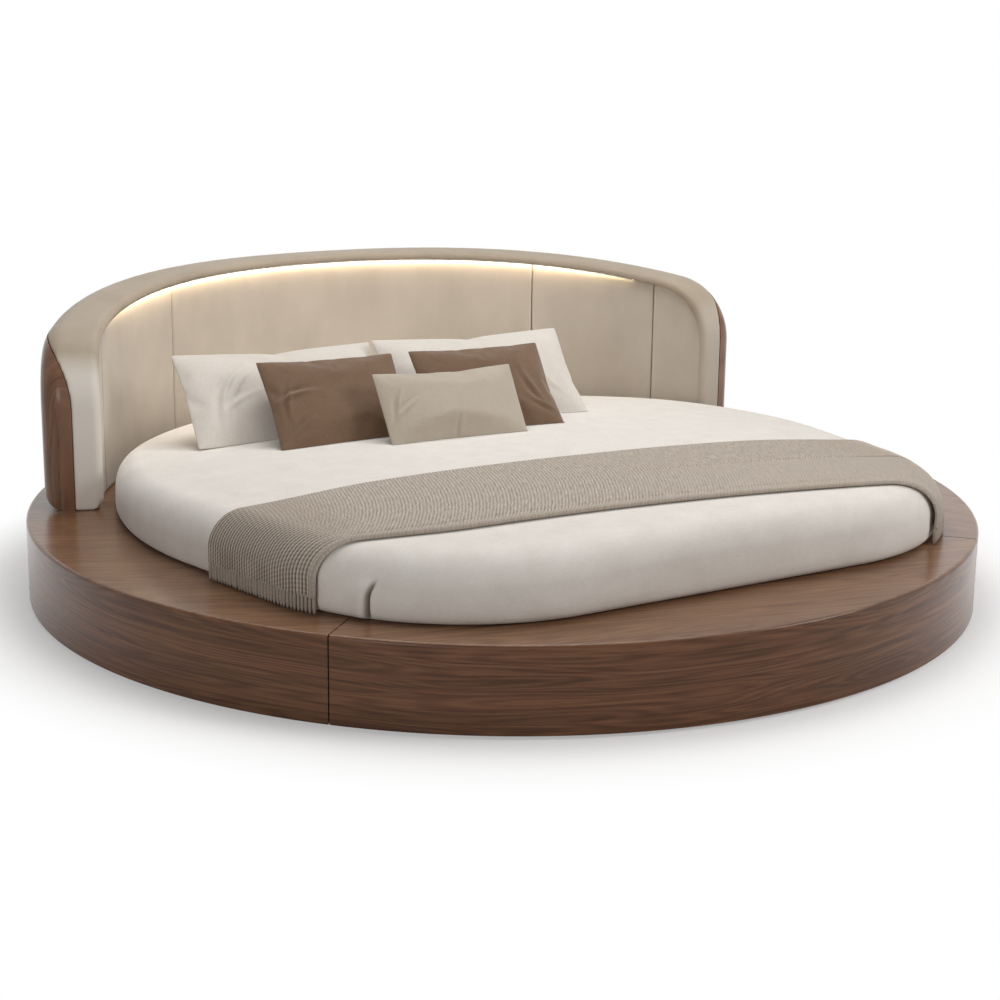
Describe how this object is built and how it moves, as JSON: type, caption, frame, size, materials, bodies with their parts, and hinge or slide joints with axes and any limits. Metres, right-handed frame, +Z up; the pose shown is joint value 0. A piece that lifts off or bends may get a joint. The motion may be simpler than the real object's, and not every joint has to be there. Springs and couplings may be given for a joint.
{
  "type": "round platform bed",
  "caption": "Round platform bed: walnut ring platform in modules, curved padded headboard with a strip light, mattress, knitted throw, pillows and cushions.",
  "frame": {"origin": "centre of the round platform on the floor", "axes": "+Z up; the foot of the bed faces -Y and the headboard's middle faces +Y; +X is to the right when looking from the foot to the head"},
  "size_m": [2.8, 2.8, 0.825],
  "materials": {
    "walnut_deck": "satin walnut veneer",
    "walnut_fascia": "satin walnut veneer, level grain",
    "walnut_headboard": "satin walnut veneer, upright grain",
    "plywood": "raw birch plywood",
    "pine": "planed pine",
    "birch_slat": "planed birch",
    "zinc_steel": "bright zinc",
    "black_steel": "matte black powder coat",
    "black_plastic": "matte",
    "greige_upholstery": "smooth padded upholstery, fine grain",
    "greige_panel": "smooth padded upholstery, fine weave",
    "aluminium_channel": "anodised satin",
    "led_strip": "white strip with warm lights",
    "led_diffuser": "frosted",
    "black_lead": "matte",
    "foam": "open foam",
    "white_cover": "fitted cotton cover, soft and matte",
    "taupe_knit": "ribbed knit",
    "white_linen": "washed linen",
    "brown_linen": "brushed linen",
    "beige_linen": "linen"
  },
  "bodies": {
    "bed_frame": {"deck_front": "walnut_deck", "fascia_front": "walnut_fascia", "riser_front": "plywood", "ribs_front": "plywood", "deck_right": "walnut_deck", "fascia_right": "walnut_fascia", "riser_right": "plywood", "ribs_right": "plywood", "deck_rear": "walnut_deck", "fascia_rear": "walnut_fascia", "riser_rear": "plywood", "ribs_rear": "plywood", "deck_left": "walnut_deck", "fascia_left": "walnut_fascia", "riser_left": "plywood", "ribs_left": "plywood", "connector_bolts": "zinc_steel", "connector_nuts": "zinc_steel", "glides": "black_plastic", "centre_beam": "pine", "side_rail_left": "pine", "side_rail_right": "pine", "rail_cleats": "pine", "support_legs": "black_steel", "slat_01": "birch_slat", "slat_02": "birch_slat", "slat_03": "birch_slat", "slat_04": "birch_slat", "slat_05": "birch_slat", "slat_06": "birch_slat", "slat_07": "birch_slat", "slat_08": "birch_slat", "slat_09": "birch_slat", "headboard_shell": "walnut_headboard", "headboard_core": "plywood", "headboard_formers": "plywood", "headboard_bolts": "zinc_steel", "rim_bumper": "greige_upholstery", "panel_centre": "greige_panel", "panel_inner_left": "greige_panel", "panel_inner_right": "greige_panel", "panel_outer_left": "greige_panel", "panel_outer_right": "greige_panel", "led_channel": "aluminium_channel", "led_strip": "led_strip", "led_diffuser": "led_diffuser", "led_driver": "black_plastic", "led_lead": "black_lead", "mains_lead": "black_lead", "power_inlet": "black_plastic"},
    "mattress": {"mattress_core": "foam", "mattress_cover": "white_cover"},
    "throw": {"throw_blanket": "taupe_knit"},
    "pillow_white_left_body": {"pillow_white_left": "white_linen"},
    "pillow_white_right_body": {"pillow_white_right": "white_linen"},
    "cushion_brown_left_body": {"cushion_brown_left": "brown_linen"},
    "cushion_brown_right_body": {"cushion_brown_right": "brown_linen"},
    "cushion_beige_body": {"cushion_beige": "beige_linen"}
  },
  "joints": [
    {"name": "mattress_lift", "type": "slide", "parent": "bed_frame", "child": "mattress", "axis": [0, 0, 1], "range_m": [0, 0.35]},
    {"name": "throw_lift", "type": "slide", "parent": "mattress", "child": "throw", "axis": [0, 0, 1], "range_m": [0, 0.3]},
    {"name": "white_left_lift", "type": "slide", "parent": "mattress", "child": "pillow_white_left_body", "axis": [0.0764, 0.7273, 0.682], "range_m": [0, 0.2]},
    {"name": "white_right_lift", "type": "slide", "parent": "mattress", "child": "pillow_white_right_body", "axis": [0.0764, 0.7273, 0.682], "range_m": [0, 0.2]},
    {"name": "brown_left_lift", "type": "slide", "parent": "mattress", "child": "cushion_brown_left_body", "axis": [0.0726, 0.6909, 0.7193], "range_m": [0, 0.2]},
    {"name": "brown_right_lift", "type": "slide", "parent": "mattress", "child": "cushion_brown_right_body", "axis": [0.0726, 0.6909, 0.7193], "range_m": [0, 0.2]},
    {"name": "beige_lift", "type": "slide", "parent": "mattress", "child": "cushion_beige_body", "axis": [0.0644, 0.6123, 0.788], "range_m": [0, 0.2]}
  ]
}
